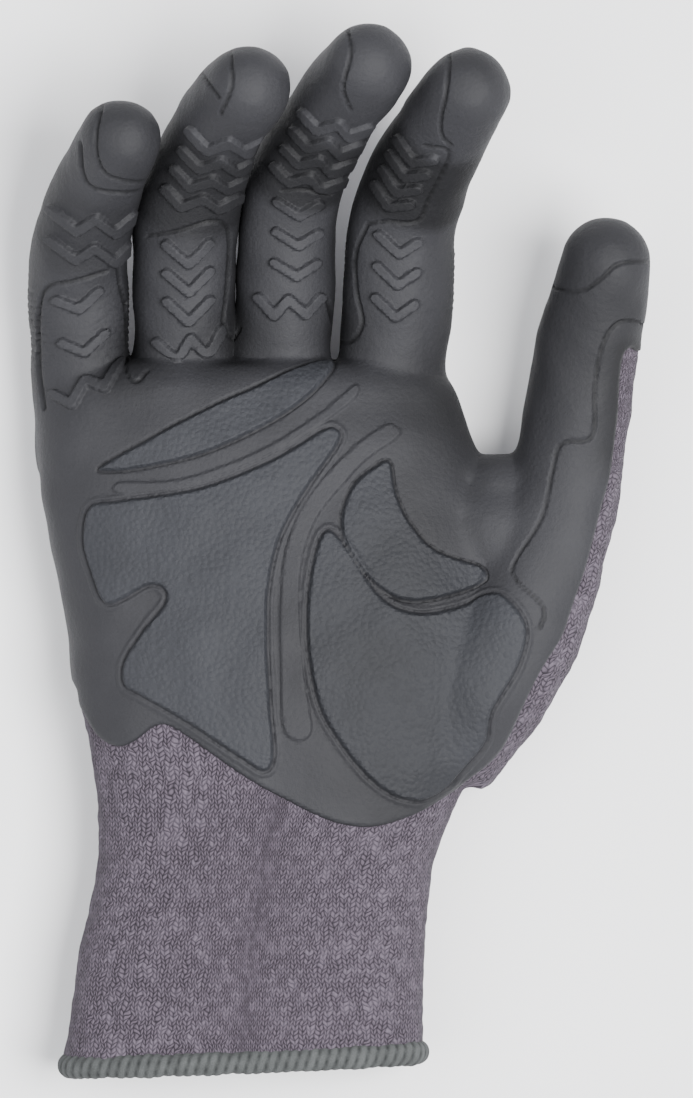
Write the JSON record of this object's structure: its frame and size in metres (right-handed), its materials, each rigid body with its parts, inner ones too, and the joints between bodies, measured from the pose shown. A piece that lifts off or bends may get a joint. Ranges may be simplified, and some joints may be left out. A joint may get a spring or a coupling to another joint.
{
  "type": "work glove",
  "caption": "Right-hand work glove lying palm up: knitted liner with a moulded rubber grip over the palm and fingertips, sprung knuckle joints, knitted cuff.",
  "frame": {"origin": "under the middle of the glove, on the surface that its back rests on", "axes": "+Z towards the palm side, +Y towards the fingertips, +X towards the thumb"},
  "size_m": [0.1384, 0.2344, 0.0689],
  "materials": {
    "grip": "satin charcoal moulding",
    "palm_pad": "pebbled charcoal moulding",
    "knuckle_sleeve": "satin charcoal moulding on knit",
    "knit": "mauve-grey seamless knit",
    "hem": "dark grey-green overlock stitching"
  },
  "bodies": {
    "hand": {"palm_liner": "knit", "palm_grip": "grip", "upper_palm_pad": "palm_pad", "centre_palm_pad": "palm_pad", "thumb_web_pad": "palm_pad", "thumb_base_pad": "palm_pad"},
    "cuff": {"cuff_knit": "knit", "wrist_sleeve": "knit", "cuff_hem": "hem"},
    "index_finger_proximal": {"index_finger_proximal_liner": "knit", "index_finger_proximal_grip": "grip", "index_finger_mcp_sleeve": "knuckle_sleeve"},
    "index_finger_middle": {"index_finger_middle_liner": "knit", "index_finger_middle_grip": "grip", "index_finger_pip_sleeve": "knuckle_sleeve"},
    "index_finger_tip": {"index_finger_tip_liner": "knit", "index_finger_tip_cap": "grip", "index_finger_dip_sleeve": "knuckle_sleeve"},
    "middle_finger_proximal": {"middle_finger_proximal_liner": "knit", "middle_finger_proximal_grip": "grip", "middle_finger_mcp_sleeve": "knuckle_sleeve"},
    "middle_finger_middle": {"middle_finger_middle_liner": "knit", "middle_finger_middle_grip": "grip", "middle_finger_pip_sleeve": "knuckle_sleeve"},
    "middle_finger_tip": {"middle_finger_tip_liner": "knit", "middle_finger_tip_cap": "grip", "middle_finger_dip_sleeve": "knuckle_sleeve"},
    "ring_finger_proximal": {"ring_finger_proximal_liner": "knit", "ring_finger_proximal_grip": "grip", "ring_finger_mcp_sleeve": "knuckle_sleeve"},
    "ring_finger_middle": {"ring_finger_middle_liner": "knit", "ring_finger_middle_grip": "grip", "ring_finger_pip_sleeve": "knuckle_sleeve"},
    "ring_finger_tip": {"ring_finger_tip_liner": "knit", "ring_finger_tip_cap": "grip", "ring_finger_dip_sleeve": "knuckle_sleeve"},
    "little_finger_proximal": {"little_finger_proximal_liner": "knit", "little_finger_proximal_grip": "grip", "little_finger_mcp_sleeve": "knuckle_sleeve"},
    "little_finger_middle": {"little_finger_middle_liner": "knit", "little_finger_middle_grip": "grip", "little_finger_pip_sleeve": "knuckle_sleeve"},
    "little_finger_tip": {"little_finger_tip_liner": "knit", "little_finger_tip_cap": "grip", "little_finger_dip_sleeve": "knuckle_sleeve"},
    "thumb_proximal": {"thumb_proximal_liner": "knit", "thumb_proximal_grip": "grip", "thumb_mcp_sleeve": "knuckle_sleeve"},
    "thumb_tip": {"thumb_tip_liner": "knit", "thumb_tip_cap": "grip", "thumb_ip_sleeve": "knuckle_sleeve"}
  },
  "joints": [
    {"name": "wrist", "type": "hinge", "parent": "hand", "child": "cuff", "pos_m": [-0.01693, -0.06956, 0.017], "axis": [-1, 0, 0], "range_deg": [0, 35], "stiffness_Nm_per_rad": 0.25, "deforming": ["wrist_sleeve"]},
    {"name": "index_finger_mcp", "type": "hinge", "parent": "hand", "child": "index_finger_proximal", "pos_m": [0.01239, 0.05508, 0.01734], "axis": [0.9965, -0.0805, -0.0232], "range_deg": [-10, 35], "stiffness_Nm_per_rad": 0.15, "deforming": ["index_finger_mcp_sleeve"]},
    {"name": "index_finger_pip", "type": "hinge", "parent": "index_finger_proximal", "child": "index_finger_middle", "pos_m": [0.01429, 0.07681, 0.0236], "axis": [0.9965, -0.0805, -0.0232], "range_deg": [-25, 45], "stiffness_Nm_per_rad": 0.08, "deforming": ["index_finger_pip_sleeve"]},
    {"name": "index_finger_dip", "type": "hinge", "parent": "index_finger_middle", "child": "index_finger_tip", "pos_m": [0.02162, 0.09255, 0.03869], "axis": [0.9478, -0.2302, -0.2208], "range_deg": [-15, 27], "stiffness_Nm_per_rad": 0.04, "deforming": ["index_finger_dip_sleeve"]},
    {"name": "middle_finger_mcp", "type": "hinge", "parent": "hand", "child": "middle_finger_proximal", "pos_m": [-0.01275, 0.05553, 0.0177], "axis": [0.9977, -0.0651, -0.0175], "range_deg": [-10, 35], "stiffness_Nm_per_rad": 0.15, "deforming": ["middle_finger_mcp_sleeve"]},
    {"name": "middle_finger_pip", "type": "hinge", "parent": "middle_finger_proximal", "child": "middle_finger_middle", "pos_m": [-0.01096, 0.08116, 0.02458], "axis": [0.9977, -0.0651, -0.0175], "range_deg": [-25, 45], "stiffness_Nm_per_rad": 0.08, "deforming": ["middle_finger_pip_sleeve"]},
    {"name": "middle_finger_dip", "type": "hinge", "parent": "middle_finger_middle", "child": "middle_finger_tip", "pos_m": [-0.00298, 0.09683, 0.03987], "axis": [0.9395, -0.2452, -0.2393], "range_deg": [-15, 27], "stiffness_Nm_per_rad": 0.04, "deforming": ["middle_finger_dip_sleeve"]},
    {"name": "ring_finger_mcp", "type": "hinge", "parent": "hand", "child": "ring_finger_proximal", "pos_m": [-0.03518, 0.05041, 0.01734], "axis": [0.9999, -0.0161, -0.0046], "range_deg": [-10, 35], "stiffness_Nm_per_rad": 0.15, "deforming": ["ring_finger_mcp_sleeve"]},
    {"name": "ring_finger_pip", "type": "hinge", "parent": "ring_finger_proximal", "child": "ring_finger_middle", "pos_m": [-0.03476, 0.07472, 0.02432], "axis": [0.9999, -0.0161, -0.0046], "range_deg": [-25, 45], "stiffness_Nm_per_rad": 0.08, "deforming": ["ring_finger_pip_sleeve"]},
    {"name": "ring_finger_dip", "type": "hinge", "parent": "ring_finger_middle", "child": "ring_finger_tip", "pos_m": [-0.0283, 0.09349, 0.04157], "axis": [0.9693, -0.1809, -0.1663], "range_deg": [-15, 27], "stiffness_Nm_per_rad": 0.04, "deforming": ["ring_finger_dip_sleeve"]},
    {"name": "little_finger_mcp", "type": "hinge", "parent": "hand", "child": "little_finger_proximal", "pos_m": [-0.05867, 0.04505, 0.0162], "axis": [0.9999, 0.0163, 0.0044], "range_deg": [-10, 35], "stiffness_Nm_per_rad": 0.15, "deforming": ["little_finger_mcp_sleeve"]},
    {"name": "little_finger_pip", "type": "hinge", "parent": "little_finger_proximal", "child": "little_finger_middle", "pos_m": [-0.05901, 0.06446, 0.0214], "axis": [0.9999, 0.0163, 0.0044], "range_deg": [-25, 45], "stiffness_Nm_per_rad": 0.08, "deforming": ["little_finger_pip_sleeve"]},
    {"name": "little_finger_dip", "type": "hinge", "parent": "little_finger_middle", "child": "little_finger_tip", "pos_m": [-0.05446, 0.08143, 0.03464], "axis": [0.9784, -0.163, -0.1271], "range_deg": [-15, 27], "stiffness_Nm_per_rad": 0.04, "deforming": ["little_finger_dip_sleeve"]},
    {"name": "thumb_mcp", "type": "hinge", "parent": "hand", "child": "thumb_proximal", "pos_m": [0.05303, 0.02917, 0.02277], "axis": [0.7319, -0.2398, 0.6379], "range_deg": [-10, 25], "stiffness_Nm_per_rad": 0.15, "deforming": ["thumb_mcp_sleeve"]},
    {"name": "thumb_ip", "type": "hinge", "parent": "thumb_proximal", "child": "thumb_tip", "pos_m": [0.05562, 0.04757, 0.02672], "axis": [0.7319, -0.2398, 0.6379], "range_deg": [-15, 35], "stiffness_Nm_per_rad": 0.08, "deforming": ["thumb_ip_sleeve"]}
  ],
  "couplings": [
    {"joint": "index_finger_dip", "follows": "index_finger_pip", "ratio": 0.6},
    {"joint": "middle_finger_dip", "follows": "middle_finger_pip", "ratio": 0.6},
    {"joint": "ring_finger_dip", "follows": "ring_finger_pip", "ratio": 0.6},
    {"joint": "little_finger_dip", "follows": "little_finger_pip", "ratio": 0.6}
  ]
}
